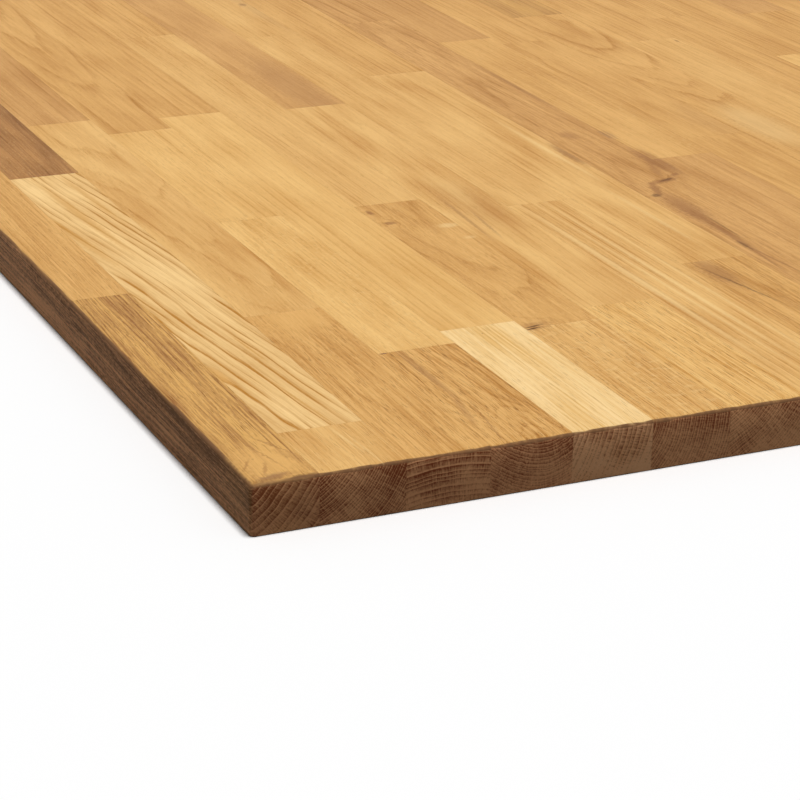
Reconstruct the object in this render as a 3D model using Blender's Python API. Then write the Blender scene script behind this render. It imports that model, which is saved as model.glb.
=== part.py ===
"""Oak tabletop: a slab of short solid-oak staves, glued side by side and end to end.

The slab lies flat, its staves along Y. The origin is at the middle of the underside, and
the front end, where the end grain shows, is at -Y. Row 1 is the row at -X.
"""

import math

import bmesh
import bpy
from mathutils import Vector

# Driving dimensions, in metres
PANEL_LENGTH = 1.000
THICKNESS = 0.027
STAVE_WIDTH = 0.045
FIRST_ROW_WIDTH = 0.035
SHORTEST_STAVE = 0.053
GLUE_LINE = 0.0003
ARRIS_RADIUS = 0.0010
CORNER_RADIUS = 0.0025

# The lengths of each row's staves from the front end, one line for each row from -X to +X.
# The last stave of a row has none: it runs on to the far end.
STAVE_LENGTHS = (
    (0.270, 0.430),
    (SHORTEST_STAVE, 0.444, 0.290),
    (0.211, 0.398),
    (0.134, 0.236, 0.202),
    (0.153, 0.445),
    (0.140, 0.230, 0.443),
    (0.158, 0.431),
    (0.338, 0.445),
    (0.204, 0.446),
    (0.351, 0.449),
    (0.395, 0.327),
    (0.430, 0.272),
    (0.355, 0.419),
    (0.245, 0.430),
    (0.395, 0.340),
    (0.160, 0.440),
    (0.300, 0.425),
    (0.210, 0.400),
)

# The tones of the same staves, the last one of each row among them
ROW_TONES = (
    "brown honey amber",
    "honey pale dark honey",
    "honey honey amber",
    "brown honey straw amber",
    "pale honey honey",
    "amber amber honey amber",
    "honey straw brown",
    "straw honey amber",
    "brown honey amber",
    "brown brown amber",
    "honey straw honey",
    "amber amber amber",
    "honey pale brown",
    "honey straw honey",
    "amber honey honey",
    "straw pale honey",
    "honey brown straw",
    "amber honey amber",
)

OAK_ROUGHNESS = 0.48
OAK_TONES = {
    "pale": "#E9C884",
    "straw": "#DDB473",
    "honey": "#D9A862",
    "amber": "#D09A55",
    "brown": "#B98C50",
    "dark": "#9A6838",
}

# How finely the rounded edges are cut, and Blender's profile value for a round one
ARRIS_SEGMENTS = 3
CORNER_SEGMENTS = 5
ROUND_PROFILE = 0.5
SHARP_ANGLE = math.radians(35)

# Half a micron: what still counts as lying on the slab's outline
ON_OUTLINE = 0.0000005

PANEL_WIDTH = FIRST_ROW_WIDTH + (len(STAVE_LENGTHS) - 1) * STAVE_WIDTH


def linear_colour(hex_code):
    """Turns an sRGB hex colour into the linear RGBA that shaders take."""
    channels = [int(hex_code[i : i + 2], 16) / 255 for i in (1, 3, 5)]
    linear = [c / 12.92 if c <= 0.04045 else ((c + 0.055) / 1.055) ** 2.4 for c in channels]
    return (*linear, 1.0)


def oak_material(node_name, tone):
    """Oiled oak in one of the slab's tones, for one stave."""
    material = bpy.data.materials.new(f"oak_{tone}_{node_name}")
    material.use_nodes = True
    shader = material.node_tree.nodes["Principled BSDF"]
    shader.inputs["Base Color"].default_value = linear_colour(OAK_TONES[tone])
    shader.inputs["Roughness"].default_value = OAK_ROUGHNESS
    shader.inputs["Metallic"].default_value = 0.0
    return material


def row_edges(row_index):
    """The two sides of a row's place in the slab, along X."""
    if row_index == 0:
        start, width = 0.0, FIRST_ROW_WIDTH
    else:
        start, width = FIRST_ROW_WIDTH + (row_index - 1) * STAVE_WIDTH, STAVE_WIDTH
    return start - PANEL_WIDTH / 2, start + width - PANEL_WIDTH / 2


def row_staves(lengths):
    """The start and end of each stave of a row, along Y from the front end.

    A butt joint leaves room for the staves beyond it, none of them under SHORTEST_STAVE.
    """
    start = 0.0
    staves = []
    for laid, length in enumerate(lengths):
        still_to_lay = len(lengths) - laid
        end = min(start + length, PANEL_LENGTH - still_to_lay * SHORTEST_STAVE)
        staves.append((start, end))
        start = end
    return [*staves, (start, PANEL_LENGTH)]


def inside_glue_lines(low, high, outer_low, outer_high):
    """Draws each side that meets a neighbour back by half a glue line."""
    if low > outer_low + ON_OUTLINE:
        low += GLUE_LINE / 2
    if high < outer_high - ON_OUTLINE:
        high -= GLUE_LINE / 2
    return low, high


def on_side(vertex):
    """Which of the slab's four outer sides a vertex lies on."""
    x_side = y_side = None
    if abs(abs(vertex.co.x) - PANEL_WIDTH / 2) < ON_OUTLINE:
        x_side = "right" if vertex.co.x > 0 else "left"
    if abs(abs(vertex.co.y) - PANEL_LENGTH / 2) < ON_OUTLINE:
        y_side = "back" if vertex.co.y > 0 else "front"
    return x_side, y_side


def is_slab_corner(edge):
    """Whether an edge is one of the slab's four upright corners."""
    upright = abs(edge.verts[0].co.z - edge.verts[1].co.z) > THICKNESS / 2
    return upright and all(None not in on_side(v) for v in edge.verts)


def is_side(face):
    """Whether a face stands upright."""
    return abs(face.normal.z) < max(abs(face.normal.x), abs(face.normal.y))


def is_slab_rim(edge):
    """Whether an edge is where the slab's top or underside meets one of its outer sides."""
    level = abs(edge.verts[0].co.z - edge.verts[1].co.z) < ON_OUTLINE
    if not level or len(edge.link_faces) != 2:
        return False
    side_faces = [f for f in edge.link_faces if is_side(f)]
    if len(side_faces) != 1:
        return False
    outward = side_faces[0].normal
    middle = (edge.verts[0].co + edge.verts[1].co) / 2
    beyond_x = PANEL_WIDTH / 2 - abs(middle.x) < CORNER_RADIUS
    beyond_y = PANEL_LENGTH / 2 - abs(middle.y) < CORNER_RADIUS
    faces_out_x = beyond_x and outward.x * middle.x > 0
    faces_out_y = beyond_y and outward.y * middle.y > 0
    return faces_out_x or faces_out_y


def round_edges(mesh, chosen, radius, segments):
    """Rounds the chosen edges to a radius."""
    if chosen:
        bmesh.ops.bevel(
            mesh,
            geom=chosen,
            offset=radius,
            offset_type="OFFSET",
            segments=segments,
            profile=ROUND_PROFILE,
            affect="EDGES",
            clamp_overlap=True,
        )
        mesh.normal_update()


def stave(name, x_span, y_span, tone, collection):
    """One oak stave, square where it is glued and eased where it is the slab's edge."""
    size = Vector((x_span[1] - x_span[0], y_span[1] - y_span[0], THICKNESS))
    middle = Vector((sum(x_span) / 2, sum(y_span) / 2, THICKNESS / 2))

    shape = bmesh.new()
    bmesh.ops.create_cube(shape, size=1.0)
    bmesh.ops.scale(shape, vec=size, verts=shape.verts)
    bmesh.ops.translate(shape, vec=middle, verts=shape.verts)
    shape.normal_update()
    corners = [e for e in shape.edges if is_slab_corner(e)]
    round_edges(shape, corners, CORNER_RADIUS, CORNER_SEGMENTS)
    rims = [e for e in shape.edges if is_slab_rim(e)]
    round_edges(shape, rims, ARRIS_RADIUS, ARRIS_SEGMENTS)
    bmesh.ops.translate(shape, vec=-middle, verts=shape.verts)

    mesh = bpy.data.meshes.new(name)
    shape.to_mesh(mesh)
    shape.free()
    mesh.shade_smooth()
    mesh.set_sharp_from_angle(angle=SHARP_ANGLE)
    piece = bpy.data.objects.new(name, mesh)
    piece.location = middle
    piece.data.materials.append(oak_material(name, tone))
    collection.objects.link(piece)
    return piece


def main():
    """Clears the file and lays up the slab, row by row."""
    for old in list(bpy.data.objects):
        bpy.data.objects.remove(old, do_unlink=True)

    tabletop = bpy.data.collections.new("oak_tabletop")
    bpy.context.scene.collection.children.link(tabletop)
    slab = bpy.data.objects.new("slab", None)
    tabletop.objects.link(slab)

    half_width, half_length = PANEL_WIDTH / 2, PANEL_LENGTH / 2
    for row_index, lengths in enumerate(STAVE_LENGTHS):
        x_span = inside_glue_lines(*row_edges(row_index), -half_width, half_width)
        tones = ROW_TONES[row_index].split()
        for stave_index, (start, end) in enumerate(row_staves(lengths)):
            y_span = inside_glue_lines(
                start - half_length, end - half_length, -half_length, half_length
            )
            name = f"row_{row_index + 1:02d}_stave_{stave_index + 1}"
            piece = stave(name, x_span, y_span, tones[stave_index], tabletop)
            piece.parent = slab


main()
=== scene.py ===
"""The finished look of the oak tabletop: solid oak staves in an oiled, hand-sanded slab.

Every stave gets its own mesh in place of its plain solid, and its own piece of wood: growth
rings round a heart that lies somewhere outside it, pores, fibres, rays and knots. The same
rings run through the top, the sides and the end grain.
"""

import logging
import math
from dataclasses import dataclass
from enum import Enum
from typing import Any

import bmesh
import bpy
from mathutils import Matrix, Vector, noise


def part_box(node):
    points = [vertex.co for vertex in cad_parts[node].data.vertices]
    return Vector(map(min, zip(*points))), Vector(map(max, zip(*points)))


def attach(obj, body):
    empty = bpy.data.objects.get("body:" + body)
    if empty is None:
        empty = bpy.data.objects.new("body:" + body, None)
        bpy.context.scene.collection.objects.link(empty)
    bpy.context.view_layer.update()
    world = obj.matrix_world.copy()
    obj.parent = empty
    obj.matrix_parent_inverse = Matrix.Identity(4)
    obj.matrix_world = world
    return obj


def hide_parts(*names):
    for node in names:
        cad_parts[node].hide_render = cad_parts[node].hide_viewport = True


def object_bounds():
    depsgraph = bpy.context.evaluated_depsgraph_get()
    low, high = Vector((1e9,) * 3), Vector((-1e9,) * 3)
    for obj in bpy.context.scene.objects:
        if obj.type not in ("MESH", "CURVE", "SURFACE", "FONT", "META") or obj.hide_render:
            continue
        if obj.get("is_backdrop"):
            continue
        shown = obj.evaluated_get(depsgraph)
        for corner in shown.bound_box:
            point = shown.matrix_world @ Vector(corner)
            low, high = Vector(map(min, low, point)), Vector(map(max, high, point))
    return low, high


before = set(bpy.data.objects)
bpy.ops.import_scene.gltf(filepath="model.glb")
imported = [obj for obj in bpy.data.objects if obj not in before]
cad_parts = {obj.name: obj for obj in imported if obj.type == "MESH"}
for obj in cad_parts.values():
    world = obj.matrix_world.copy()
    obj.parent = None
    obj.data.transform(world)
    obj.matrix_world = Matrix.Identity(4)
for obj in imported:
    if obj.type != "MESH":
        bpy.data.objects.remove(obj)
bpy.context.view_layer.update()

LOG = logging.getLogger("oak_tabletop")
MM = 0.001
SHARP_ANGLE = math.radians(35)

# What still counts as lying on the slab's outline, how near a point a cut goes through it, and
# how far up or down the normal of a level face points at least
NEAR = 0.001 * MM
SNAP = 0.0001 * MM
LEVEL = 0.5

# A mark's height in millimetres, so that it runs right through the slab
ENDLESS = 1.0e6
NOISE_MIDDLE = (0.5, 0.5, 0.5)

Socket = bpy.types.NodeSocket
Sockets = tuple[Socket, ...]
Tree = bpy.types.NodeTree
Span = tuple[float, float]

# Settings that many nodes share
TIMES = {"operation": "MULTIPLY"}
TIMES_PLUS = {"operation": "MULTIPLY_ADD"}
MINUS = {"operation": "SUBTRACT"}
LENGTH = {"operation": "LENGTH"}
LARGER = {"operation": "MAXIMUM"}
CLAMPED = {"use_clamp": True}
UNCLAMPED = {"clamp": False}
SMOOTH = {"interpolation_type": "SMOOTHSTEP"}


def linear(hex_code: str) -> tuple[float, float, float, float]:
    """Turns an sRGB hex colour into the linear RGBA that shaders take.

    Args:
        hex_code: The colour as "#RRGGBB".

    Returns:
        Linear red, green, blue and an alpha of 1.
    """
    channels = [int(hex_code[i : i + 2], 16) / 255 for i in (1, 3, 5)]
    red, green, blue = (c / 12.92 if c <= 0.04045 else ((c + 0.055) / 1.055) ** 2.4 for c in channels)
    return red, green, blue, 1.0


def add_node(
    tree: Tree,
    kind: str,
    inputs: dict[int | str, Any] | tuple[Any, ...] = (),
    settings: dict[str, Any] | None = None,
) -> bpy.types.bpy_prop_collection:
    """Adds one node with its settings and links.

    Args:
        tree: The tree it goes in.
        kind: Blender's name for the node, without its "ShaderNode".
        inputs: Its inputs' values, or the sockets that feed them, in order or by name or number.
        settings: The node's own properties.

    Returns:
        The new node's outputs.
    """
    node = tree.nodes.new(kind if kind.startswith("Node") else f"ShaderNode{kind}")
    for name, value in (settings or {}).items():
        setattr(node, name, value)
    for key, value in inputs.items() if isinstance(inputs, dict) else enumerate(inputs):
        if isinstance(value, Socket):
            tree.links.new(value, node.inputs[key])
        else:
            node.inputs[key].default_value = value
    return node.outputs


def mix(tree: Tree, share: Any, first: Any, second: Any) -> Socket:
    """Mixes two colours, with the second one's share from 0 to 1."""
    return add_node(tree, "Mix", {0: share, 6: first, 7: second}, {"data_type": "RGBA"})[2]


class Tone(Enum):
    """Tones of oiled oak: the ground between the growth rings, and the ring lines on it."""

    CREAM = ("#FBD89C", "#DFAD60")
    FLAME = ("#FBD493", "#B97E2F")
    STRAW = ("#EEC079", "#CC944B")
    HONEY = ("#E8B974", "#C38A45")
    AMBER = ("#E2B06B", "#B77E3A")
    TAN = ("#D9A666", "#AB7437")
    BROWN = ("#DBA961", "#935E31")
    DARK = ("#B9864F", "#82542B")


class Cut(Enum):
    """How a stave was sawn: where the log's heart lies from its middle, in millimetres."""

    RIFT = (62.0, -58.0)
    RIFT_LEFT = (-60.0, -54.0)
    RIFT_HEART_UP = (-60.0, 52.0)
    FLAT = (4.0, -56.0)
    FLAT_HEART_UP = (-3.0, 48.0)
    QUARTERED = (-78.0, -12.0)
    QUARTERED_RIGHT = (74.0, -22.0)


class Stain(Enum):
    """What a mark on a stave is coloured by."""

    KNOT = "#4E2C17"
    RESIN = "#8A5630"
    SMOKE = "#6E5148"
    RAY = "#F7D698"
    HONEY = "#E3B069"
    GOLD = "#CB9242"
    WORN = "#7E5A3C"


@dataclass(frozen=True)
class Mark:
    """A knot, streak, smudge or ray on a stave. Places and sizes are in millimetres.

    Args:
        across: Its middle, from the slab's left side.
        along: Its middle, from the slab's front end.
        width: Half its width.
        length: Half its length.
        depth: How strongly its colour shows, from 0 to 1.
        stain: What colours it.
        turn: How far it is turned, in degrees, anticlockwise from above.
        swell: How far the growth rings give way round it.
        drink: How much darker the slab's cut edges are there: more oil, and painted shade.
    """

    across: float
    along: float
    width: float
    length: float
    depth: float
    stain: Stain = Stain.RESIN
    turn: float = 0.0
    swell: float = 0.0
    drink: float = 0.0


@dataclass(frozen=True)
class Grain:
    """One stave's wood.

    Args:
        tone: Its tone.
        cut: How it was sawn.
        heart: How far its heart is off the cut's usual place, across and upwards.
        lean: How far the rings run off, across and upwards, for each millimetre along.
        ring: The width of a year's ring in millimetres.
        figure: How strongly the ring lines show.
        fibre: How strongly the pores and fibres show.
        stripe: How strongly broad stripes show.
        fleck: How strongly rays show as flecks.
        wave: How wavy the grain runs, in millimetres.
        drink: How much darker its cut edges are than others of its tone: more oil, and painted shade.
        marks: Its knots and streaks.
    """

    tone: Tone
    cut: Cut = Cut.RIFT
    heart: Span = (0.0, 0.0)
    lean: Span = (0.0, 0.0)
    ring: float = 3.2
    figure: float = 0.3
    fibre: float = 0.26
    stripe: float = 0.35
    fleck: float = 0.15
    wave: float = 0.8
    drink: float = 0.0
    marks: tuple[Mark, ...] = ()


# The knot across the joint between the first two staves of row 10
KNOT_ON_JOINT = (
    Mark(423, 350.5, 13, 4, 0.6, turn=16),
    Mark(426, 352, 7, 1.8, 0.6, Stain.KNOT, turn=22, swell=2),
)

STAVES = {
    "row_01_stave_1": Grain(
        Tone.BROWN, Cut.RIFT_HEART_UP, lean=(0.006, 0.01), ring=3.4, figure=0.35, fibre=0.95, wave=1.2,
        drink=-0.1,
        marks=(
            Mark(12, 27.6, 0.7, 1.3, 0.8, Stain.KNOT, turn=-25, swell=1.5),
            Mark(17, 20, 20, 26, 0.7, Stain.HONEY),
            Mark(6.5, 22, 1, 8, 0.35, turn=-30),
            Mark(13, 14, 1.2, 9, 0.4, turn=-20),
            Mark(31, 24, 3.5, 13, 0.22, turn=28),
            Mark(27, 40, 0.9, 18, 0.4, turn=24),
            Mark(19, 30, 0.7, 20, 0.35, turn=12),
            Mark(13.5, 70, 0.8, 34, 0.45, turn=-1),
            Mark(24, 80, 0.8, 24, 0.35, turn=-5),
            Mark(13, 5, 9, 3.6, 0.42, Stain.SMOKE, turn=14),
            Mark(16, 5, 12, 3, 0.35, turn=8),
            Mark(27, 1.2, 9, 2, 0.9, Stain.WORN),
            Mark(21.5, 205, 1.6, 80, 0.3, turn=-1),
            Mark(25.5, 235, 1, 60, 0.25, turn=-1),
            # Darker along the left side near the corner: painted shade
            Mark(0, 66, 12, 44, 0, drink=0.16),
        ),
    ),
    "row_01_stave_2": Grain(Tone.AMBER, Cut.RIFT_LEFT, ring=2.6, fibre=0.5, drink=-0.2),
    "row_01_stave_3": Grain(Tone.AMBER, figure=0.4),
    "row_02_stave_1": Grain(
        Tone.HONEY, Cut.RIFT_HEART_UP, ring=1.5, fibre=0.5, stripe=0.5, drink=0.17,
        marks=(
            Mark(63, 34, 0.9, 22, 0.35, Stain.RAY, turn=5),
            Mark(67, 20, 0.8, 24, 0.3, Stain.RAY, turn=3),
        ),
    ),
    "row_02_stave_2": Grain(
        Tone.FLAME, Cut.RIFT_LEFT, lean=(-0.11, 0), ring=4.1, figure=1.25, fibre=0.2, stripe=0.25, wave=1.6,
        marks=(
            Mark(54, 410, 3.5, 90, 0.5, Stain.GOLD, turn=4),
            Mark(70, 440, 2.4, 60, 0.45, Stain.GOLD, turn=4),
            Mark(38.5, 370, 3.5, 70, 0.45, Stain.GOLD, turn=6),
            Mark(62, 85, 0.9, 38, 0.5, Stain.GOLD, turn=6),
            Mark(65, 166, 0.9, 24, 0.6, Stain.GOLD, turn=5),
            Mark(37, 134, 2.8, 15, 0.65, Stain.HONEY, turn=3),
        ),
    ),
    "row_02_stave_3": Grain(Tone.DARK, lean=(0.02, 0.01), figure=0.35, fibre=0.45, stripe=0.7),
    "row_02_stave_4": Grain(Tone.HONEY, Cut.FLAT, figure=0.4),
    "row_03_stave_1": Grain(
        Tone.AMBER, Cut.FLAT, heart=(0, -40), lean=(0.01, 0.02), ring=2.8, fibre=0.75, drink=-0.08,
        marks=(Mark(104, 200, 26, 36, 0.6, Stain.HONEY),),
    ),
    "row_03_stave_2": Grain(
        Tone.HONEY, Cut.FLAT, lean=(0, 0.035), ring=3, figure=0.35, stripe=0.45, wave=1.8
    ),
    "row_03_stave_3": Grain(Tone.TAN),
    "row_04_stave_1": Grain(
        Tone.AMBER, Cut.FLAT_HEART_UP, heart=(7, 0), lean=(-0.01, 0.02), ring=1.7, figure=0.4, fibre=1,
        drink=-0.15,
        marks=(
            Mark(153, -4, 9, 16, 0.05, swell=-5),
            Mark(136.8, 102, 2.6, 42, 0.4),
            Mark(133.2, 48, 2.6, 26, 0.32, turn=-10),
            Mark(135, 108, 0.7, 34, 0.35),
            Mark(137.2, 30, 0.7, 32, 0.4, turn=-8),
            Mark(128, 133.2, 2.6, 0.6, 0.9, Stain.SMOKE),
        ),
    ),
    "row_04_stave_2": Grain(Tone.STRAW, Cut.QUARTERED, figure=0.2, fibre=0.4, stripe=0.5, fleck=0.25),
    "row_04_stave_3": Grain(Tone.STRAW, figure=0.25, fibre=0.35),
    "row_04_stave_4": Grain(Tone.AMBER, Cut.FLAT, lean=(0, 0.02), figure=0.35),
    "row_05_stave_1": Grain(
        Tone.CREAM, Cut.QUARTERED, heart=(-4, 42), ring=2.6, figure=0.35, fibre=0.45, stripe=0.45,
        drink=-0.1,
        marks=(
            Mark(190.3, 141.8, 0.5, 0.9, 0.6, turn=-20),
            Mark(206, 75, 0.9, 85, 0.5, Stain.RAY, turn=-2),
        ),
    ),
    "row_05_stave_2": Grain(Tone.STRAW, Cut.RIFT_LEFT, ring=3.4, figure=0.2, fibre=0.25),
    "row_05_stave_3": Grain(Tone.AMBER),
    "row_06_stave_1": Grain(
        Tone.HONEY, Cut.QUARTERED, heart=(28, 27), ring=1.6, fibre=0.85, stripe=0.3, fleck=0.3,
        marks=(
            Mark(222, 139, 9, 3, 0.35, turn=12, swell=1.5),
            Mark(219.5, 138.6, 5, 1, 0.9, Stain.KNOT, turn=12),
        ),
    ),
    "row_06_stave_2": Grain(
        Tone.AMBER, Cut.FLAT, lean=(0.02, 0.03), fibre=0.35, fleck=0.2, wave=1.6,
        marks=(
            Mark(222, 143, 12, 5, 0.35, turn=6, swell=2.5),
            Mark(221, 141.6, 7, 0.9, 0.8, Stain.KNOT, turn=12),
            Mark(219.5, 355.5, 2.2, 5, 0.65, swell=2),
            Mark(222.5, 333, 4.5, 3, 0.6, swell=2),
            Mark(254, 317, 7.5, 4.2, 0.42, Stain.RAY),
            Mark(256, 292, 4.5, 2.6, 0.3, Stain.RAY),
        ),
    ),
    "row_06_stave_3": Grain(Tone.HONEY, figure=0.25, fibre=0.3),
    "row_06_stave_4": Grain(Tone.AMBER, Cut.RIFT_LEFT),
    "row_07_stave_1": Grain(
        Tone.STRAW, Cut.RIFT_HEART_UP, heart=(-2, 8), ring=1.6, fibre=0.9, stripe=0.4, drink=-0.1
    ),
    "row_07_stave_2": Grain(
        Tone.HONEY, lean=(0.03, 0), figure=0.35, stripe=0.6,
        marks=(
            Mark(286, 352, 20, 62, 0.14),
            Mark(270, 325, 1.6, 46, 0.35, turn=-4),
            Mark(276.5, 310, 1.3, 28, 0.35, turn=-6),
        ),
    ),
    "row_07_stave_3": Grain(Tone.TAN, Cut.FLAT, marks=(Mark(288, 640, 18, 100, 0.3),)),
    "row_08_stave_1": Grain(
        Tone.HONEY, Cut.RIFT_LEFT, ring=3.8, figure=0.5, fibre=0.4, stripe=0.5, wave=0.3,
        marks=(
            Mark(312.5, 190, 3, 150, 0.4, Stain.RAY),
            Mark(323, 170, 1.4, 170, 0.3, Stain.RAY),
            Mark(330, 190, 2, 150, 0.4, Stain.RAY),
            Mark(342, 160, 1.4, 170, 0.3, Stain.RAY),
        ),
    ),
    "row_08_stave_2": Grain(Tone.HONEY, Cut.QUARTERED, figure=0.25, stripe=0.4),
    "row_08_stave_3": Grain(
        Tone.HONEY, marks=(Mark(345, 886, 3, 5, 0.5, swell=2), Mark(347, 900, 7, 110, 0.2))
    ),
    "row_09_stave_1": Grain(
        Tone.AMBER, Cut.FLAT, fibre=0.6,
        marks=(
            Mark(362, 184, 9, 28, 0.5),
            Mark(363.5, 158, 1, 38, 0.5, Stain.KNOT, turn=10),
            Mark(375, 80, 6, 60, 0.2),
        ),
    ),
    "row_09_stave_2": Grain(
        Tone.HONEY, stripe=0.6, wave=1.2,
        marks=(
            Mark(393, 424, 4, 28, 0.6),
            Mark(385, 440, 2, 90, 0.35, Stain.RAY),
            Mark(379, 290, 2, 60, 0.3, Stain.RAY),
        ),
    ),
    "row_09_stave_3": Grain(Tone.AMBER, figure=0.45, stripe=0.25),
    "row_10_stave_1": Grain(
        Tone.TAN, Cut.FLAT, lean=(0, 0.02), figure=0.35, fibre=0.5,
        marks=(
            Mark(408, 296, 9.5, 34, 0.5),
            Mark(405.5, 268, 5, 34, 0.35),
            Mark(405, 230, 3.2, 46, 0.5, turn=-3),
            Mark(403.5, 220, 1.6, 10, 0.5, Stain.KNOT),
            Mark(406.5, 188, 1, 26, 0.45, turn=5),
            Mark(401.5, 188, 1, 22, 0.4, turn=-4),
            Mark(410, 255, 1, 26, 0.35, Stain.KNOT, turn=-3),
            Mark(409.5, 337, 3.5, 16, 0.6, turn=-18),
            Mark(403, 325, 4, 3.4, 0.6, Stain.KNOT, swell=3),
            *KNOT_ON_JOINT,
        ),
    ),
    "row_10_stave_2": Grain(
        Tone.TAN, Cut.FLAT_HEART_UP, lean=(0, 0.02), figure=0.4, fibre=0.5,
        marks=(
            *KNOT_ON_JOINT,
            Mark(437, 360, 7, 2.6, 0.5, turn=35),
            Mark(430, 374, 3.5, 18, 0.35, turn=-15),
            Mark(439, 390, 6.5, 32, 0.6),
            Mark(415, 463, 7, 10, 0.35),
            Mark(439, 456, 2.6, 12, 0.3, Stain.SMOKE),
            Mark(438, 585, 2.5, 68, 0.4),
        ),
    ),
    "row_10_stave_3": Grain(Tone.TAN, Cut.RIFT_LEFT, lean=(-0.06, 0), ring=4.2, figure=0.5, wave=1.2),
    "row_11_stave_1": Grain(Tone.TAN, marks=(Mark(442.5, 384, 4, 28, 0.55),)),
    "row_11_stave_2": Grain(
        Tone.AMBER, Cut.QUARTERED, figure=0.25,
        marks=(Mark(442.5, 400, 4, 20, 0.45), Mark(442, 455, 2.6, 12, 0.25, Stain.SMOKE)),
    ),
    "row_11_stave_3": Grain(Tone.TAN, fibre=0.2, stripe=0.15),
    "row_12_stave_1": Grain(Tone.AMBER, Cut.FLAT, lean=(0, 0.02), figure=0.35),
    "row_12_stave_2": Grain(
        Tone.AMBER, Cut.FLAT, figure=0.4, wave=1.4, marks=(Mark(522, 465, 14, 50, 0.15),)
    ),
    "row_12_stave_3": Grain(Tone.AMBER, figure=0.35),
    "row_13_stave_1": Grain(Tone.AMBER, Cut.RIFT_LEFT, figure=0.35),
    "row_13_stave_2": Grain(
        Tone.AMBER, Cut.FLAT, lean=(0, 0.035), ring=3.6, figure=0.5, wave=1.4,
        marks=(Mark(552, 440, 18, 60, 0.3, Stain.RAY, swell=8),),
    ),
    "row_13_stave_3": Grain(Tone.BROWN, figure=0.25, fibre=0.2, stripe=0.25),
    "row_14_stave_1": Grain(Tone.HONEY, Cut.QUARTERED, figure=0.25, fleck=0.4),
    "row_14_stave_2": Grain(Tone.HONEY, Cut.RIFT_LEFT, marks=(Mark(617, 666, 1.5, 4, 0.5, swell=1.5),)),
    "row_14_stave_3": Grain(Tone.AMBER),
    "row_15_stave_1": Grain(Tone.AMBER, Cut.FLAT, lean=(0, -0.03), figure=0.5),
    "row_15_stave_2": Grain(Tone.AMBER),
    "row_15_stave_3": Grain(Tone.AMBER, Cut.QUARTERED, figure=0.45),
    "row_16_stave_1": Grain(Tone.STRAW, Cut.RIFT_LEFT, figure=0.4),
    "row_16_stave_2": Grain(Tone.STRAW, Cut.FLAT, lean=(0, 0.03), figure=0.45, wave=1.2),
    "row_16_stave_3": Grain(Tone.AMBER),
    "row_17_stave_1": Grain(Tone.HONEY, Cut.FLAT_HEART_UP, lean=(0, 0.03), figure=0.5),
    "row_17_stave_2": Grain(Tone.AMBER, figure=0.35),
    "row_17_stave_3": Grain(Tone.TAN, Cut.RIFT_LEFT),
    "row_18_stave_1": Grain(Tone.AMBER, figure=0.4),
    "row_18_stave_2": Grain(Tone.HONEY, Cut.QUARTERED_RIGHT, fleck=0.5),
    "row_18_stave_3": Grain(Tone.AMBER, Cut.FLAT, lean=(0, 0.02), figure=0.35),
}


@dataclass(frozen=True)
class Streaks:
    """A noise drawn out along the grain: its size in millimetres, and its finer layers."""

    width: float
    length: float
    detail: float
    roughness: float = 0.6


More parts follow.
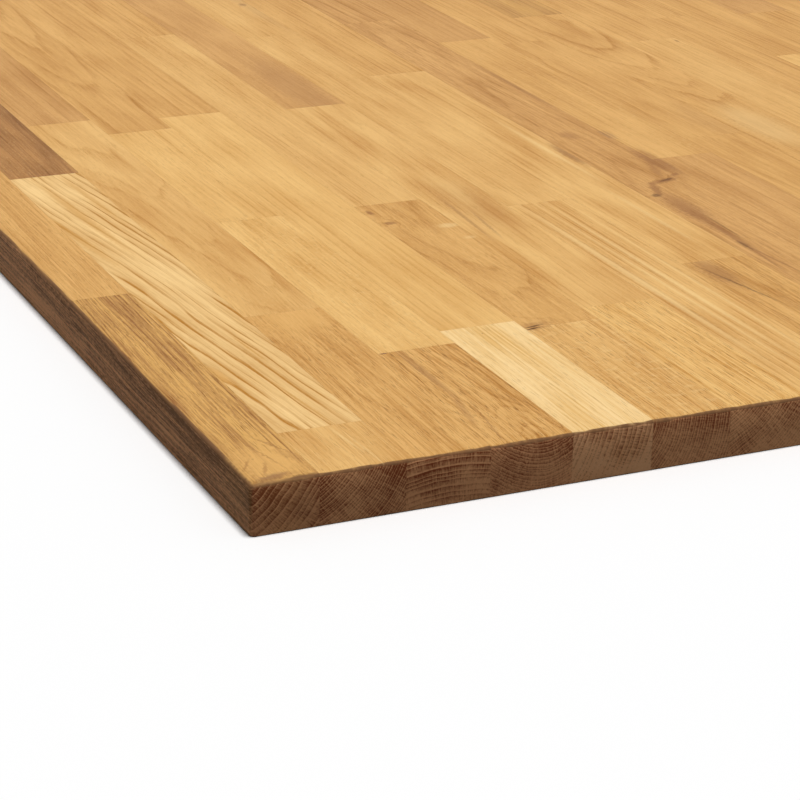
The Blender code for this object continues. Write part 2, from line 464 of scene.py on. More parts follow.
@dataclass(frozen=True)
class OiledOak:
    """Oiled oak as solid wood: its pattern fills the stave, so each face shows its own section.

    To the eye it is warm and nearly matt, with dark pores and pale rays along its faces. Its
    sides and ends are painted darker and redder: the ends partly because cut end grain drinks
    more oil, and the ends and long sides alike with painted shade. Sizes are in millimetres.
    Real pores are 0.3 mm wide, and are drawn a little coarser because finer ones don't show at
    the camera's distance.
    """

    # Streaks along the grain, and the wear on the rounded edges
    pores: Streaks = Streaks(0.42, 12.0, 1.0)
    fibres: Streaks = Streaks(1.2, 75.0, 3.0)
    stripes: Streaks = Streaks(6.0, 320.0, 2.0)
    clouds: Streaks = Streaks(20.0, 95.0, 1.0)
    wear: Streaks = Streaks(14.0, 45.0, 1.0)
    wear_patches: Streaks = Streaks(4.0, 16.0, 2.0)

    # Wear: the noise between which it reaches least and most, how far, how much an edge has to
    # turn to be worn, and the noise between which its patches run from the least to full
    wear_limits: Span = (0.35, 0.65)
    wear_reach: Span = (0.6, 2.6)
    wear_turn: Span = (0.02, 0.12)
    patch_limits: Span = (0.3, 0.6)
    least_wear: float = 0.7

    # The grain's slow bends and finer ones: width, length, and reach for each unit of wave
    bends: tuple[tuple[float, float, float], ...] = ((45.0, 210.0, 6.0), (9.0, 55.0, 1.3))

    # How far each next seed moves the pattern
    seed_step: float = 1.37
    seed_shift: tuple[float, float, float] = (13.7, 211.3, 7.9)

    # Years: how quickly wide and narrow ones take turns, how uneven they are, and the weakest
    year_turns: float = 0.45
    year_spread: float = 0.9
    weakest_year: float = 0.4

    # How strong early and late wood are through a ring's season, from its start at 0 to 1
    early_wood: tuple[Span, ...] = (
        (0.0, 0.45), (0.03, 1.0), (0.12, 0.9), (0.22, 0.45), (0.5, 0.12), (0.93, 0.0), (1.0, 0.3),
    )
    late_wood: tuple[Span, ...] = (
        (0.0, 0.05), (0.1, 0.0), (0.22, 0.55), (0.6, 0.7), (0.94, 1.0), (1.0, 0.5),
    )

    # The noise at which a pore opens in late and in early wood, and how softly
    pore_limits: Span = (0.6, 0.51)
    pore_softness: float = 0.1

    # Rays: their thickness at that distance from the heart, their height, their depth outwards,
    # and the noise between which they fade in
    ray_thickness: float = 0.45
    ray_distance: float = 60.0
    ray_height: float = 3.2
    ray_depth: float = 8.0
    ray_limits: Span = (0.57, 0.68)

    # Faces: the noise between which ring lines are weak and strong, how far the streaks reach,
    # the ring line's share everywhere, and how strong pores and rays are at most
    break_limits: Span = (0.75, 1.25)
    line_breaks: Span = (0.2, 1.4)
    face_reaches: tuple[float, float, float] = (2.8, 1.5, 2.5)
    line_share: float = 0.28
    pore_share: float = 0.58
    ray_share: float = 0.6
    pore_colour: str = "#7E5026"

    # Cut edges, darker partly for the oil that end grain drinks and partly with painted shade on
    # the ends and long sides: where a face counts as one, how dark oil and painted shade turn a
    # black and a white ground, how strong rings are at the ends and on the sides, how far fibres
    # draw the sides, how far the other streaks reach, and how far the light tone covers the
    # wood's own
    edge_turn: Span = (0.4, 0.9)
    edge_oil_and_shade: Span = (0.47, -1.03)
    edge_rings: Span = (1.15, 0.45)
    side_fibres: Span = (-0.2, 1.35)
    edge_reaches: tuple[float, float, float] = (1.15, 1.2, -1.4)
    light_share: float = 0.7
    edge_light: str = "#F0AC80"
    end_oil_and_shade: str = "#864627"
    side_shade: str = "#775230"

    # Over their height the ends and sides are painted darker by this much from the middle to the
    # top, and lighter by as much towards the bottom: painted shade above and painted light below
    edge_height: float = 27.0
    edge_painted_fall: float = 0.3

    # Marks: how closely and how far at most they are frayed, where one starts and is full as
    # shares of its size, how far it pushes rings away, and how it shows on cut edges
    fray_scale: float = 0.45
    fray_most: float = 12.0
    mark_fade: Span = (1.3, 0.3)
    swell_reach: float = 4.0
    mark_on_edge: float = 0.2

    # Sheen and relief
    roughness: float = 0.5
    rougher: float = 0.12
    specular_level: float = 0.04
    ring_relief: float = 0.35
    fibre_relief: float = 0.5
    relief_strength: float = 0.5
    relief_depth: float = 0.08

    def grain_group(self) -> bpy.types.ShaderNodeTree:
        """Builds the node group that all staves share.

        Returns:
            A group that turns a place in the stave, in millimetres, into colour and height.
        """
        tree = bpy.data.node_groups.new("oiled_oak_grain", "ShaderNodeTree")
        for way, kind, names in (
            ("INPUT", "Vector", "Place Heart Lean"),
            ("INPUT", "Float", "Seed Ring Wave Swell Figure Fibre Stripe Fleck Drink"),
            ("INPUT", "Color", "Ground Line"),
            ("OUTPUT", "Color", "Color"),
            ("OUTPUT", "Float", "Roughness Height Edge"),
        ):
            for name in names.split():
                tree.interface.new_socket(name, in_out=way, socket_type=f"NodeSocket{kind}")
        given = add_node(tree, "NodeGroupInput")
        flow, from_heart = self._grain_flow(tree, given)
        early, late, radius, angle = self._growth_rings(tree, given, from_heart)
        fibres = self._noise(tree, flow, self.fibres)
        stripes = self._noise(tree, flow, self.stripes)
        clouds = self._noise(tree, flow, self.clouds)
        pores = self._pores(tree, flow, early)
        sheets = self._ray_sheets(tree, given, radius, angle)
        colour = self._face_colour(tree, given, early, (fibres, stripes, clouds), pores, sheets)
        colour, edge_share = self._edge_faces(tree, given, colour, late, (fibres, clouds, sheets))
        colour = self._worn_arris(tree, colour, flow)

        roughness = add_node(
            tree, "MapRange", (edge_share, 0.0, 1.0, self.roughness, self.roughness + self.rougher)
        )[0]
        roughness = add_node(tree, "Math", (pores, self.rougher, roughness), TIMES_PLUS)[0]
        grooves = add_node(tree, "Math", (early, self.ring_relief, pores), TIMES_PLUS)[0]
        height = add_node(tree, "Math", (fibres, self.fibre_relief), TIMES)[0]
        height = add_node(tree, "Math", (height, grooves), MINUS)[0]
        add_node(tree, "NodeGroupOutput", (colour, roughness, height, edge_share))
        return tree

    def _noise(self, tree: Tree, flow: Socket, streaks: Streaks) -> Socket:
        """Adds a noise drawn out along the grain.

        Args:
            tree: The tree it goes in.
            flow: The place along the grain, in millimetres.
            streaks: The noise's size.

        Returns:
            The noise, around 0.5.
        """
        place = add_node(
            tree, "VectorMath", (flow, (1 / streaks.width, 1 / streaks.length, 1 / streaks.width)), TIMES
        )[0]
        return add_node(
            tree, "TexNoise",
            {"Vector": place, "Scale": 1.0, "Detail": streaks.detail, "Roughness": streaks.roughness},
        )["Fac"]

    def _grain_flow(self, tree: Tree, given: Any) -> Sockets:
        """Bends the grain: a slow wander, a finer wobble, and the lean.

        Args:
            tree: The group's tree.
            given: The group's inputs.

        Returns:
            The place along the bent grain, and the same seen from the heart.
        """
        seeded = add_node(
            tree, "VectorMath", (self.seed_shift, given["Seed"], given["Place"]), TIMES_PLUS
        )[0]
        bent = given["Place"]
        for width, length, share in self.bends:
            place = add_node(tree, "VectorMath", (seeded, (1 / width, 1 / length, 1 / width)), TIMES)[0]
            wander = add_node(tree, "TexNoise", {"Vector": place, "Scale": 1.0, "Detail": 1.0})["Color"]
            wander = add_node(tree, "VectorMath", (wander, NOISE_MIDDLE), MINUS)[0]
            reach = add_node(tree, "Math", (given["Wave"], share), TIMES)[0]
            wander = add_node(tree, "VectorMath", {0: wander, "Scale": reach}, {"operation": "SCALE"})[0]
            bent = add_node(tree, "VectorMath", (bent, wander))[0]
        along = add_node(tree, "SeparateXYZ", (given["Place"],))[1]
        drift = add_node(tree, "VectorMath", {0: given["Lean"], "Scale": along}, {"operation": "SCALE"})[0]
        bent = add_node(tree, "VectorMath", (bent, drift), MINUS)[0]
        flow = add_node(tree, "VectorMath", (self.seed_shift, given["Seed"], bent), TIMES_PLUS)[0]
        from_heart = add_node(tree, "VectorMath", (bent, given["Heart"]), MINUS)[0]
        return flow, from_heart

    def _growth_rings(self, tree: Tree, given: Any, from_heart: Socket) -> Sockets:
        """Draws the years' rings, each starting sharply with a band of open pores.

        Args:
            tree: The group's tree.
            given: The group's inputs.
            from_heart: The place seen from the log's heart.

        Returns:
            How far a place is in a ring's early wood, how far in its late wood, its distance
            from the heart, and its angle.
        """
        parts = add_node(tree, "SeparateXYZ", (from_heart,))
        flat = add_node(tree, "VectorMath", (from_heart, (1.0, 0.0, 1.0)), TIMES)[0]
        radius = add_node(tree, "VectorMath", (flat,), LENGTH)["Value"]
        radius = add_node(tree, "Math", (radius, given["Swell"]))[0]
        angle = add_node(tree, "Math", (parts[0], parts[2]), {"operation": "ARCTAN2"})[0]
        years = add_node(tree, "Math", (radius, given["Ring"]), {"operation": "DIVIDE"})[0]
        slow = add_node(tree, "Math", (years, self.year_turns, given["Seed"]), TIMES_PLUS)[0]
        uneven = add_node(
            tree, "TexNoise", {"W": slow, "Scale": 1.0, "Detail": 0.0}, {"noise_dimensions": "1D"}
        )["Fac"]
        years = add_node(tree, "Math", (uneven, self.year_spread, years), TIMES_PLUS)[0]
        season = add_node(tree, "Math", (years,), {"operation": "FRACT"})[0]
        year = add_node(tree, "Math", (years,), {"operation": "FLOOR"})[0]
        year = add_node(tree, "Math", (year, given["Seed"]))[0]
        growth = add_node(tree, "TexWhiteNoise", {"W": year}, {"noise_dimensions": "1D"})["Value"]
        growth = add_node(tree, "MapRange", (growth, 0.0, 1.0, self.weakest_year))[0]
        bands = []
        for profile in (self.early_wood, self.late_wood):
            band = add_node(tree, "ValToRGB", (season,))[0]
            stops = band.node.color_ramp.elements
            for position, _ in profile[1:-1]:
                stops.new(position)
            for stop, (_, value) in zip(stops, profile):
                stop.color = (value, value, value, 1.0)
            bands.append(band)
        early = add_node(tree, "Math", (bands[0], growth), TIMES)[0]
        return early, bands[1], radius, angle

    def _pores(self, tree: Tree, flow: Socket, early: Socket) -> Socket:
        """Draws the pores: short dark grooves, crowded in the early wood.

        Args:
            tree: The group's tree.
            flow: The place along the grain.
            early: How far a place is in early wood.

        Returns:
            How far a place is in a pore.
        """
        speckle = self._noise(tree, flow, self.pores)
        crowd = add_node(tree, "MapRange", (early, 0.0, 1.0, *self.pore_limits))[0]
        full = add_node(tree, "Math", (crowd, self.pore_softness))[0]
        return add_node(tree, "MapRange", (speckle, crowd, full), SMOOTH)[0]

    def _ray_sheets(self, tree: Tree, given: Any, radius: Socket, angle: Socket) -> Socket:
        """Draws the rays, thin sheets that stand out from the heart.

        Args:
            tree: The group's tree.
            given: The group's inputs.
            radius: The distance from the heart.
            angle: The angle round it.

        Returns:
            A noise that is highest in the rays.
        """
        along = add_node(tree, "SeparateXYZ", (given["Place"],))[1]
        sideways = add_node(tree, "Math", (angle, self.ray_distance / self.ray_thickness), TIMES)[0]
        upwards = add_node(tree, "Math", (along, 1 / self.ray_height), TIMES)[0]
        outwards = add_node(tree, "Math", (radius, 1 / self.ray_depth), TIMES)[0]
        place = add_node(tree, "CombineXYZ", (sideways, upwards, outwards))[0]
        return add_node(tree, "TexNoise", {"Vector": place, "Scale": 1.0, "Detail": 1.0})["Fac"]

    def _face_colour(
        self, tree: Tree, given: Any, early: Socket, streaks: Sockets, pores: Socket, sheets: Socket
    ) -> Socket:
        """Mixes the ground, ring lines, pores and rays.

        Args:
            tree: The group's tree.
            given: The group's inputs.
            early: How far a place is in early wood.
            streaks: The fine fibres, the broad stripes, and the clouds that are broader still.
            pores: How far it is in a pore.
            sheets: The noise of the rays.

        Returns:
            The colour on a face along the grain.
        """
        broken = add_node(tree, "Math", (streaks[0], streaks[2]))[0]
        broken = add_node(tree, "MapRange", (broken, *self.break_limits, *self.line_breaks))[0]
        share = add_node(tree, "Math", (early, broken), TIMES)[0]
        share = add_node(tree, "Math", (share, given["Figure"]), TIMES)[0]
        for streak, strength, reach in zip(streaks, ("Fibre", "Stripe", "Stripe"), self.face_reaches):
            centred = add_node(tree, "MapRange", (streak, 0.0, 1.0, -reach / 2, reach / 2), UNCLAMPED)[0]
            share = add_node(tree, "Math", (centred, given[strength], share), TIMES_PLUS)[0]
        share = add_node(tree, "Math", (share, self.line_share), CLAMPED)[0]
        colour = mix(tree, share, given["Ground"], given["Line"])
        rays = add_node(tree, "MapRange", (sheets, *self.ray_limits), SMOOTH)[0]
        for share, strength, most, paint in (
            (pores, "Fibre", self.pore_share, self.pore_colour),
            (rays, "Fleck", self.ray_share, Stain.RAY.value),
        ):
            share = add_node(tree, "Math", (share, given[strength]), TIMES)[0]
            share = add_node(tree, "Math", (share, most), TIMES)[0]
            colour = mix(tree, share, colour, linear(paint))
        return colour

    def _edge_faces(
        self, tree: Tree, given: Any, colour: Socket, late: Socket, streaks: Sockets
    ) -> Sockets:
        """Darkens the slab's edges and brings out their rings. The ends are darker partly because end
        grain drinks more oil; the ends and long sides alike also carry painted shade.

        Args:
            tree: The group's tree.
            given: The group's inputs.
            colour: The colour so far.
            late: How far a place is in late wood.
            streaks: The fine fibres, the clouds, and the noise of the rays.

        Returns:
            The colour, and how far a place faces sideways.
        """
        sideways, upright, _ = self._facing(tree)
        side_share, edge_share = (
            add_node(tree, "MapRange", (share, *self.edge_turn), SMOOTH)[0]
            for share in (sideways, upright)
        )
        # The ends' and sides' darker colour: in the end grain partly real oil, and on the ends and long
        # sides alike painted shade
        lightness = add_node(tree, "RGBToBW", (given["Ground"],))[0]
        oil_and_shade = add_node(tree, "MapRange", (lightness, 0.0, 1.0, *self.edge_oil_and_shade), UNCLAMPED)[0]
        ringed = add_node(tree, "MapRange", (side_share, 0.0, 1.0, *self.edge_rings))[0]
        oil_and_shade = add_node(tree, "Math", (late, ringed, oil_and_shade), TIMES_PLUS)[0]
        drawn = add_node(tree, "MapRange", (streaks[0], 0.0, 1.0, *self.side_fibres), UNCLAMPED)[0]
        oil_and_shade = add_node(tree, "Math", (side_share, drawn, oil_and_shade), TIMES_PLUS)[0]
        for streak, reach in zip(streaks, self.edge_reaches):
            centred = add_node(tree, "MapRange", (streak, 0.0, 1.0, -reach / 2, reach / 2), UNCLAMPED)[0]
            oil_and_shade = add_node(tree, "Math", (oil_and_shade, centred))[0]
        # Painted shade towards the top of the ends and sides, and painted light towards the bottom
        height = add_node(tree, "SeparateXYZ", (given["Place"],))[2]
        half, most = self.edge_height / 2, self.edge_painted_fall
        painted_fall = add_node(tree, "MapRange", (height, -half, half, -most, most))[0]
        oil_and_shade = add_node(tree, "Math", (oil_and_shade, painted_fall))[0]
        oil_and_shade = add_node(tree, "Math", (oil_and_shade, given["Drink"]), CLAMPED)[0]
        edge = mix(tree, self.light_share, colour, linear(self.edge_light))
        dark = mix(tree, side_share, linear(self.end_oil_and_shade), linear(self.side_shade))
        edge = mix(tree, oil_and_shade, edge, dark)
        colour = mix(tree, edge_share, colour, edge)
        return colour, edge_share

    def _facing(self, tree: Tree) -> Sockets:
        """Tells how a face is turned.

        Args:
            tree: The tree that asks.

        Returns:
            How far it faces along X, how far to any side, and how far up or down.
        """
        normal = add_node(tree, "TexCoord")["Normal"]
        normal = add_node(tree, "VectorMath", (normal,), {"operation": "ABSOLUTE"})[0]
        parts = add_node(tree, "SeparateXYZ", (normal,))
        flat = add_node(tree, "VectorMath", (normal, (1.0, 1.0, 0.0)), TIMES)[0]
        upright = add_node(tree, "VectorMath", (flat,), LENGTH)["Value"]
        return parts[0], upright, parts[2]

    def _worn_arris(self, tree: Tree, colour: Socket, flow: Socket) -> Socket:
        """Dulls the rounded edges in patches, where sanding and hands have worn them.

        Args:
            tree: The group's tree.
            colour: The colour so far.
            flow: The place along the grain.

        Returns:
            The colour with its edges worn.
        """
        _, upright, level = self._facing(tree)
        squarest = add_node(tree, "Math", (upright, level), LARGER)[0]
        reach = self._noise(tree, flow, self.wear)
        reach = add_node(tree, "MapRange", (reach, *self.wear_limits, *self.wear_reach))[0]
        bend = add_node(tree, "Math", (1.0, squarest), MINUS)[0]
        bend = add_node(tree, "Math", (bend, reach), TIMES)[0]
        worn = add_node(tree, "MapRange", (bend, *self.wear_turn), SMOOTH)[0]
        patches = self._noise(tree, flow, self.wear_patches)
        patches = add_node(tree, "MapRange", (patches, *self.patch_limits, self.least_wear))[0]
        worn = add_node(tree, "Math", (worn, patches), TIMES)[0]
        return mix(tree, worn, colour, linear(Stain.WORN.value))

    def material(
        self, name: str, grain: Grain, middle: Vector, corner: Vector, seed: int
    ) -> bpy.types.Material:
        """Makes one stave's wood.

        Args:
            name: The stave's node name.
            grain: Its grain.
            middle: The stave's middle, in metres.
            corner: The slab's left front corner, in metres.
            seed: A number that sets its pattern apart from the other staves'.

        Returns:
            The material.
        """
        material = bpy.data.materials.new(f"oiled_oak_{grain.tone.name.lower()}_{name}")
        material.use_nodes = True
        tree = material.node_tree
        group = bpy.data.node_groups.get("oiled_oak_grain") or self.grain_group()
        place = add_node(
            tree, "Mapping",
            {
                "Vector": add_node(tree, "TexCoord")["Object"],
                "Location": -middle / MM,
                "Scale": (1 / MM, 1 / MM, 1 / MM),
            },
        )[0]
        swell, drink, stains = self._marks(tree, grain, place, middle, corner)
        across, upwards = grain.cut.value
        wood = add_node(
            tree, "Group",
            {
                "Place": place, "Heart": (across + grain.heart[0], 0.0, upwards + grain.heart[1]),
                "Lean": (grain.lean[0], 0.0, grain.lean[1]), "Seed": seed * self.seed_step,
                "Ring": grain.ring, "Wave": grain.wave, "Swell": swell, "Figure": grain.figure,
                "Fibre": grain.fibre, "Stripe": grain.stripe, "Fleck": grain.fleck, "Drink": drink,
                "Ground": linear(grain.tone.value[0]), "Line": linear(grain.tone.value[1]),
            },
            {"node_tree": group},
        )
        colour = wood["Color"]
        level = add_node(tree, "MapRange", (wood["Edge"], 0.0, 1.0, 1.0, self.mark_on_edge))[0]
        for share, stain in stains:
            share = add_node(tree, "Math", (share, level), TIMES)[0]
            colour = mix(tree, share, colour, linear(stain.value))
        depth = self.relief_depth * MM
        relief = add_node(
            tree, "Bump", {"Strength": self.relief_strength, "Distance": depth, "Height": wood["Height"]}
        )[0]
        shader = tree.nodes["Principled BSDF"]
        shader.inputs["Metallic"].default_value = 0.0
        shader.inputs["Specular IOR Level"].default_value = self.specular_level
        tree.links.new(colour, shader.inputs["Base Color"])
        tree.links.new(wood["Roughness"], shader.inputs["Roughness"])
        tree.links.new(relief, shader.inputs["Normal"])
        return material

    def _marks(
        self, tree: Tree, grain: Grain, place: Socket, middle: Vector, corner: Vector
    ) -> tuple[Any, Any, list[tuple[Socket, Stain]]]:
        """Draws a stave's knots and streaks.

        Args:
            tree: The stave's tree.
            grain: The stave's grain.
            place: The place in the stave, in millimetres.
            middle: The stave's middle, in metres.
            corner: The slab's left front corner, in metres.

        Returns:
            How far the rings give way, how much darker the cut edges are for oil and painted shade,
            and each mark's strength with what colours it.
        """
        swell: Any = 0.0
        drink: Any = grain.drink
        stains: list[tuple[Socket, Stain]] = []
        if not grain.marks:
            return swell, drink, stains
        frayed = add_node(tree, "TexNoise", {"Vector": place, "Scale": self.fray_scale})["Color"]
        frayed = add_node(tree, "VectorMath", (frayed, NOISE_MIDDLE), MINUS)[0]
        for mark in grain.marks:
            fray = (mark.width, min(mark.length, self.fray_most), 0.0)
            ragged = add_node(tree, "VectorMath", (frayed, fray, place), TIMES_PLUS)[0]
            across = mark.across + (corner.x - middle.x) / MM
            along = mark.along + (corner.y - middle.y) / MM
            seen = add_node(
                tree, "Mapping",
                {
                    "Vector": ragged,
                    "Location": (across, along, 0.0),
                    "Rotation": (0.0, 0.0, math.radians(mark.turn)),
                    "Scale": (mark.width, mark.length, ENDLESS),
                },
                {"vector_type": "TEXTURE"},
            )[0]
            away = add_node(tree, "VectorMath", (seen,), LENGTH)["Value"]
            if mark.depth:
                share = add_node(tree, "MapRange", (away, *self.mark_fade, 0.0, mark.depth), SMOOTH)[0]
                stains.append((share, mark.stain))
            if mark.swell:
                push = add_node(tree, "MapRange", (away, self.swell_reach, 0.0, 0.0, mark.swell), SMOOTH)[0]
                swell = add_node(tree, "Math", (push, swell))[0]
            if mark.drink:
                oil_and_shade = add_node(tree, "MapRange", (away, *self.mark_fade, 0.0, mark.drink), SMOOTH)[0]
                drink = add_node(tree, "Math", (oil_and_shade, drink))[0]
        return swell, drink, stains


@dataclass
class Slab:
    """The glued-up slab. Its sizes are in metres.

    Args:
        glue_line: The gap that stands in for the glue between two staves' solids.
        joint_line: The hairline that shows between two glued staves.
        corner_radius: The rounding of the four upright corners.
        top_radius: The rounding of the top's edges.
        underside_radius: The rounding of the underside's edges, which are left crisper.
        corner_steps: How finely an upright corner is rounded.
        top_steps: How finely the top's edges are rounded.
        underside_steps: How finely the underside's edges are rounded.
        corner_chord: How far inside a true round its flats may lie.
        rim_reach: How far off its flat face a wandering rim may be.
        facet: How closely the rim is cut up so that it can wander.
        border: How far in from the rim the sanding slopes.
        sanded: The most that sanding takes off the rim.
        usual_share: The share of that which it takes off as a rule.
        waves: The rim's slow and its quick wander: how long, and what share of the sanding.
        corner_sanded: The most that sanding takes off a corner besides.
        corner_reach: How far from a corner it takes more.
    """

    glue_line: float = 0.3 * MM
    joint_line: float = 0.04 * MM
    corner_radius: float = 2.5 * MM
    top_radius: float = 2.0 * MM
    underside_radius: float = 0.5 * MM
    corner_steps: int = 6
    top_steps: int = 4
    underside_steps: int = 2
    corner_chord: float = 0.02 * MM
    rim_reach: float = 2.5 * MM
    facet: float = 3.5 * MM
    border: tuple[float, ...] = (4.0 * MM, 10.0 * MM)
    sanded: float = 0.5 * MM
    usual_share: float = 0.45
    waves: tuple[Span, ...] = ((19 * MM, 0.9), (6 * MM, 0.3))
    corner_sanded: float = 0.4 * MM
    corner_reach: float = 18 * MM

    def build(self, oak: OiledOak) -> None:
        """Makes every stave and dresses it.

        Args:
            oak: The finish.
        """
        self.low, self.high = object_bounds()
        for seed, (node, grain) in enumerate(STAVES.items()):
            low, high = self._glued_up(*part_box(node))
            piece = self._stave(f"oiled_{node}", low, high)
            middle = (low + high) / 2
            piece.data.materials.append(oak.material(node, grain, middle, self.low, seed + 1))
            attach(piece, "root")
            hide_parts(node)
            LOG.info("%s: %s, %d faces", piece.name, grain.tone.name.lower(), len(piece.data.polygons))

    def _glued_up(self, low: Vector, high: Vector) -> tuple[Vector, Vector]:
        """Closes the glue line to a hairline on each side that meets a neighbour.

        Args:
            low: The stave's lowest corner.
            high: Its highest corner.

        Returns:
            Both corners, moved out to the hairline.
        """
        low, high = low.copy(), high.copy()
        outwards = (self.glue_line - self.joint_line) / 2
        for axis in (0, 1):
            if low[axis] > self.low[axis] + NEAR:
                low[axis] -= outwards
            if high[axis] < self.high[axis] - NEAR:
                high[axis] += outwards
        return low, high

    def _outer(self, point: Vector) -> list[tuple[int, int]]:
        """Finds the slab's outer sides that a point lies on.

        Args:
            point: The point.

        Returns:
            Each side, as its axis and direction.
        """
        sides = []
        for axis in (0, 1):
            if point[axis] < self.low[axis] + NEAR:
                sides.append((axis, -1))
            if point[axis] > self.high[axis] - NEAR:
                sides.append((axis, 1))
        return sides

    def _stave(self, name: str, low: Vector, high: Vector) -> bpy.types.Object:
        """Shapes one stave, and eases it where it is the slab's edge.

        Args:
            name: The piece's name.
            low: Its lowest corner.
            high: Its highest corner.

        Returns:
            The piece, its place in its mesh.
        """
        shape = bmesh.new()
        bmesh.ops.create_cube(shape, size=1.0)
        bmesh.ops.scale(shape, vec=high - low, verts=shape.verts)
        bmesh.ops.translate(shape, vec=(low + high) / 2, verts=shape.verts)
        corners = [
            e for e in shape.edges
            if abs(e.verts[0].co.z - e.verts[1].co.z) > MM and len(self._outer(e.verts[0].co)) == 2
        ]
        self._round(shape, corners, self.corner_radius, self.corner_steps)
        outer = {side for v in shape.verts for side in self._outer(v.co)}
        self._cut_rim(shape, low, high, outer)
        self._sand_rim(shape, high.z)
        self._round(shape, self._rim(shape, high.z), self.top_radius, self.top_steps)
        self._round(shape, self._rim(shape, low.z), self.underside_radius, self.underside_steps)
        bmesh.ops.recalc_face_normals(shape, faces=shape.faces)

        mesh = bpy.data.meshes.new(name)
        shape.to_mesh(mesh)
        shape.free()
        mesh.shade_smooth()
        mesh.set_sharp_from_angle(angle=SHARP_ANGLE)
        piece = bpy.data.objects.new(name, mesh)
        bpy.context.scene.collection.objects.link(piece)
        return piece

    def _round(
        self, shape: bmesh.types.BMesh, edges: list[bmesh.types.BMEdge], radius: float, segments: int
    ) -> None:
        """Rounds edges to a radius.

        Args:
            shape: The mesh.
            edges: The edges to round.
            radius: The radius.
            segments: How finely.
        """
        if edges:
            bmesh.ops.bevel(
                shape, geom=edges, offset=radius, offset_type="OFFSET", segments=segments,
                profile=0.5, affect="EDGES", clamp_overlap=True, material=-1,
            )
            shape.normal_update()

    def _cut_rim(
        self, shape: bmesh.types.BMesh, low: Vector, high: Vector, outer: set[tuple[int, int]]
    ) -> None:
        """Cuts the faces up along the slab's outline, so that the rim can wander.

        Args:
            shape: The mesh.
            low: The stave's lowest corner.
            high: Its highest corner.
            outer: The slab's outer sides that the stave has, as axis and direction.
        """
        cuts: list[tuple[int, float]] = []
        for axis, direction in outer:
            other = 1 - axis
            steps = max(1, round((high[other] - low[other]) / self.facet))
            cuts += [(other, low[other] + (high[other] - low[other]) * i / steps) for i in range(1, steps)]
            start = high[axis] if direction > 0 else low[axis]
            cuts += [(axis, start - direction * inset) for inset in self.border]
        for axis, place in cuts:
            normal = Vector((0.0, 0.0, 0.0))
            normal[axis] = 1.0
            bmesh.ops.bisect_plane(
                shape, geom=[*shape.verts, *shape.edges, *shape.faces], dist=SNAP,
                plane_co=normal * place, plane_no=normal,
            )

    def _sand_rim(self, shape: bmesh.types.BMesh, top: float) -> None:
        """Takes the top's rim down unevenly, as sanding by hand does.

        Args:
            shape: The mesh.
            top: The top's height.
        """
        for vertex in shape.verts:
            if vertex.co.z > top - NEAR and self._near_outline(vertex.co):
                vertex.co.z -= self._sanded_off(vertex.co)

    def _insets(self, point: Vector) -> tuple[float, float]:
        """How far in a point lies from the slab's nearest sides, along X and along Y."""
        inset_x = min(point.x - self.low.x, self.high.x - point.x)
        return inset_x, min(point.y - self.low.y, self.high.y - point.y)

    def _near_outline(self, point: Vector) -> bool:
        """Tells whether a point lies on the slab's outline, its rounded corners among it.

        Args:
            point: The point.

        Returns:
            Whether it does.
        """
        inset_x, inset_y = self._insets(point)
        if min(inset_x, inset_y) < NEAR:
            return True
        radius = self.corner_radius
        to_centre = math.hypot(radius - inset_x, radius - inset_y)
        return max(inset_x, inset_y) < radius and to_centre > radius - self.corner_chord

    def _sanded_off(self, point: Vector) -> float:
        """How much sanding has taken off the rim at a point.

        Args:
            point: A point on the rim.

        Returns:
            The depth, in metres.
        """
        share = self.usual_share
        for length, strength in self.waves:
            share += strength * noise.noise(point / length)
        share = min(max(share, 0.0), 1.0)
        corner = max(0.0, 1.0 - math.hypot(*self._insets(point)) / self.corner_reach)
        return self.sanded * share + self.corner_sanded * corner * corner * (3 - 2 * corner)

    def _rim(self, shape: bmesh.types.BMesh, height: float) -> list[bmesh.types.BMEdge]:
        """Finds the edges between a flat face and the slab's outer sides.

        Args:
            shape: The mesh.
            height: The flat face's height.

        Returns:
            The edges.
        """
        rim = []
        for edge in shape.edges:
            if len(edge.link_faces) != 2 or any(abs(v.co.z - height) > self.rim_reach for v in edge.verts):
                continue
            upright = [f for f in edge.link_faces if abs(f.normal.z) < LEVEL]
            level = [f for f in edge.link_faces if abs(f.normal.z) >= LEVEL]
            if len(upright) == 1 and len(level) == 1 and all(self._near_outline(v.co) for v in edge.verts):
                rim.append(edge)
        return rim


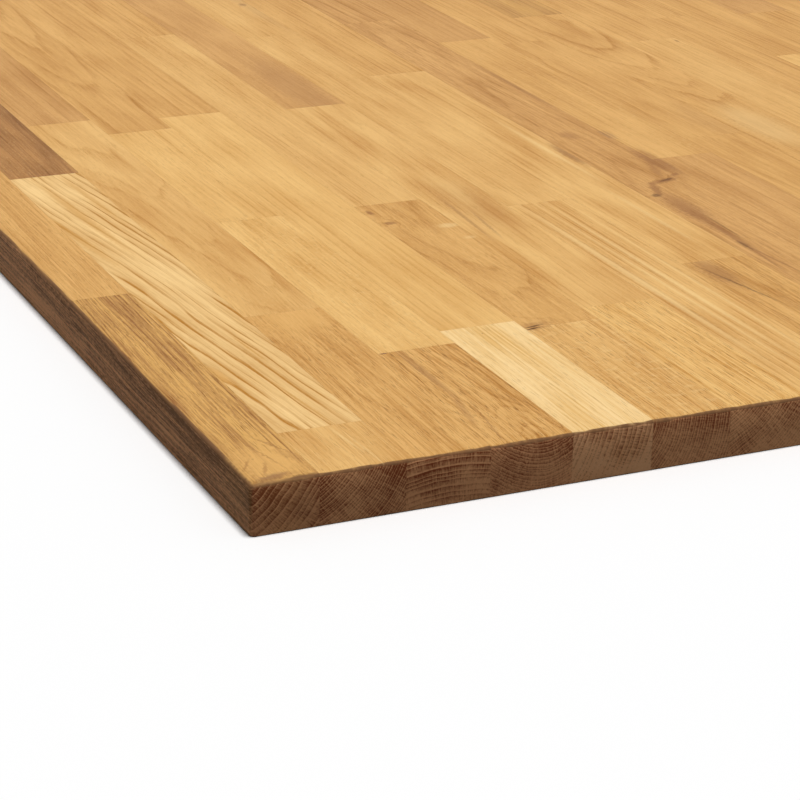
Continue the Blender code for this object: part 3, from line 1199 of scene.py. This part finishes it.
@dataclass
class Studio:
    """A plain pale floor under plain soft light. Strengths are Blender's, sizes in metres."""

    floor_size: float = 24.0
    floor_drop: float = 0.1 * MM
    floor_bounce: str = "#767676"
    white: str = "#FFFFFF"
    sky_share: float = 0.2
    lamp_tilt: Span = (math.radians(2), math.radians(4))
    lamp_angle: float = math.radians(12)

    def build(self) -> None:
        """Makes the floor, the lamp and the sky."""
        self._floor()
        self._lamp()
        self._sky()
        LOG.info("studio: floor, lamp and sky")

    def _seen_directly(self, tree: Tree) -> Socket:
        """Tells the camera's, mirrors' and glass's view of a thing from the light it gives.

        Args:
            tree: The tree that asks.

        Returns:
            1 for camera, glossy and transmission rays, and else 0.
        """
        path = add_node(tree, "LightPath")
        seen = add_node(tree, "Math", (path["Is Camera Ray"], path["Is Glossy Ray"]), LARGER)[0]
        return add_node(tree, "Math", (seen, path["Is Transmission Ray"]), LARGER)[0]

    def _floor(self) -> None:
        """Lays a matt pale floor, white to the eye and grey to the light it sends back."""
        shape = bmesh.new()
        bmesh.ops.create_grid(shape, x_segments=2, y_segments=2, size=self.floor_size / 2)
        bmesh.ops.translate(shape, vec=(0.0, 0.0, -self.floor_drop), verts=shape.verts)
        mesh = bpy.data.meshes.new("studio_floor")
        shape.to_mesh(mesh)
        shape.free()
        floor = bpy.data.objects.new("studio_floor", mesh)
        bpy.context.scene.collection.objects.link(floor)
        # Matt white paper gives the eye a clean ground with no shine, and only a soft shadow
        material = bpy.data.materials.new("matt_white_paper")
        material.use_nodes = True
        tree = material.node_tree
        seen = self._seen_directly(tree)
        colour = mix(tree, seen, linear(self.floor_bounce), linear(self.white))
        shader = tree.nodes["Principled BSDF"]
        shader.inputs["Roughness"].default_value = 1.0
        shader.inputs["Specular IOR Level"].default_value = 0.0
        tree.links.new(colour, shader.inputs["Base Color"])
        mesh.materials.append(material)
        floor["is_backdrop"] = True

    def _lamp(self) -> None:
        """Hangs one broad soft lamp overhead, a little to the front and the right."""
        lamp = bpy.data.lights.new("overhead_softbox", "SUN")
        lamp.energy = math.pi * (1.0 - self.sky_share)
        lamp.angle = self.lamp_angle
        holder = bpy.data.objects.new("overhead_softbox", lamp)
        holder.rotation_euler = (self.lamp_tilt[0], self.lamp_tilt[1], 0.0)
        bpy.context.scene.collection.objects.link(holder)

    def _sky(self) -> None:
        """Gives a white background and a weak even light from all round."""
        world = bpy.data.worlds.new("white_sky")
        world.use_nodes = True
        tree = world.node_tree
        seen = self._seen_directly(tree)
        strength = add_node(tree, "MapRange", (seen, 0.0, 1.0, self.sky_share, 1.0))[0]
        tree.links.new(strength, tree.nodes["Background"].inputs["Strength"])
        tree.nodes["Background"].inputs["Color"].default_value = linear(self.white)
        bpy.context.scene.world = world


@dataclass
class PhotoCamera:
    """The camera at the photograph's angle. Its place is in metres."""

    place: tuple[float, float, float] = (-0.8133, -1.5383, 0.5200)
    heading: float = math.radians(-25.21)
    dip: float = math.radians(21.91)
    roll: float = math.radians(1.42)
    lens: float = 118.16
    film: float = 36.0
    nearest: float = 0.05
    farthest: float = 100.0

    def build(self) -> None:
        """Sets the camera up and makes it the scene's."""
        data = bpy.data.cameras.new("photo_camera")
        data.lens = self.lens
        data.sensor_width = self.film
        data.sensor_fit = "HORIZONTAL"
        data.clip_start = self.nearest
        data.clip_end = self.farthest
        camera = bpy.data.objects.new("photo_camera", data)
        turn = (
            Matrix.Rotation(self.heading, 4, "Z")
            @ Matrix.Rotation(math.pi / 2 - self.dip, 4, "X")
            @ Matrix.Rotation(self.roll, 4, "Z")
        )
        camera.matrix_world = Matrix.Translation(self.place) @ turn
        bpy.context.scene.collection.objects.link(camera)
        bpy.context.scene.camera = camera
        LOG.info("camera: %.1f mm lens", self.lens)


def main() -> None:
    """Builds the slab, the studio and the camera."""
    logging.basicConfig(level=logging.INFO, format="%(name)s: %(message)s")
    bpy.context.scene.view_settings.view_transform = "Standard"
    PhotoCamera().build()
    Slab().build(OiledOak())
    Studio().build()


if __name__ == "__main__":
    main()
